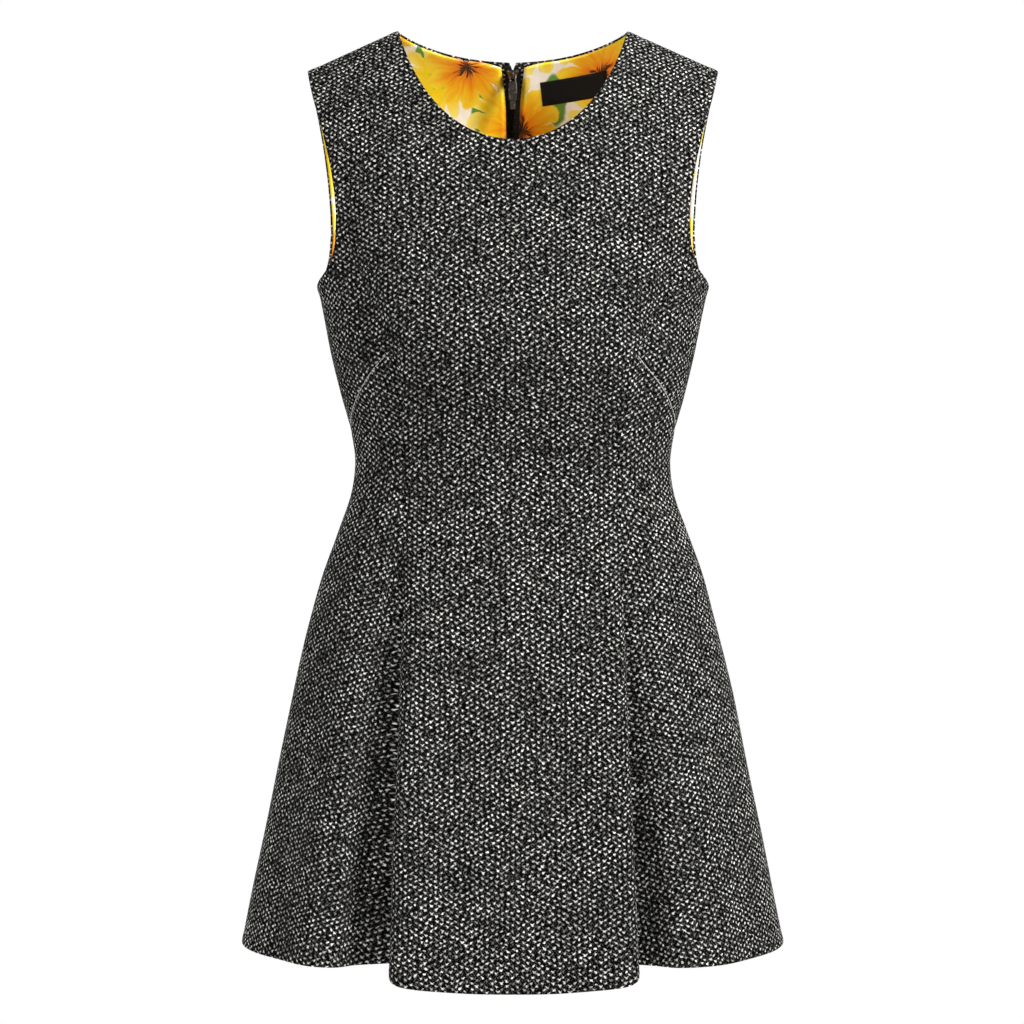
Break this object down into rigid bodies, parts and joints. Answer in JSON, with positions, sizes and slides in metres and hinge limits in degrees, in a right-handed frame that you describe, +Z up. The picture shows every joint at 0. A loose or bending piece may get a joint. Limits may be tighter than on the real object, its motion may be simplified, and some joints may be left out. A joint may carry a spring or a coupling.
{
  "type": "sleeveless fit and flare dress",
  "caption": "Sleeveless round-neck mini dress in speckled tweed, fitted to the waist and flared below, with a back zip, kept in its worn hollow form.",
  "frame": {"origin": "on the centre plane between the shoulders, at the middle height of the shoulder seams, where the wearer's shoulders hold the dress", "axes": "+Z up, +X to the right as the front is seen, the front facing -Y and the zip at +Y"},
  "size_m": [0.483, 0.3086, 0.8342],
  "materials": {
    "tweed": "matte black and white boucle tweed",
    "lining": "smooth woven lining with a soft sheen, floral print",
    "zip_tape": "matte woven tape",
    "gunmetal": "satin gunmetal",
    "label": "smooth woven satin, blank"
  },
  "bodies": {
    "dress": {"front_centre": "tweed", "front_underarm_left": "tweed", "front_underarm_right": "tweed", "front_side_left": "tweed", "front_side_right": "tweed", "back_centre_left": "tweed", "back_centre_right": "tweed", "back_side_left": "tweed", "back_side_right": "tweed", "lining_back_left": "lining", "lining_back_right": "lining", "zip_tape_left": "zip_tape", "zip_tape_right": "zip_tape", "zip_chain": "zip_tape", "zip_slider": "gunmetal", "label": "label"},
    "pull_tab": {"zip_pull_tab": "gunmetal"}
  },
  "joints": [
    {"name": "pull_tab_swing", "type": "hinge", "parent": "dress", "child": "pull_tab", "pos_m": [0, 0.05507, -0.01331], "axis": [-1, 0, 0], "range_deg": [-30, 154]}
  ]
}
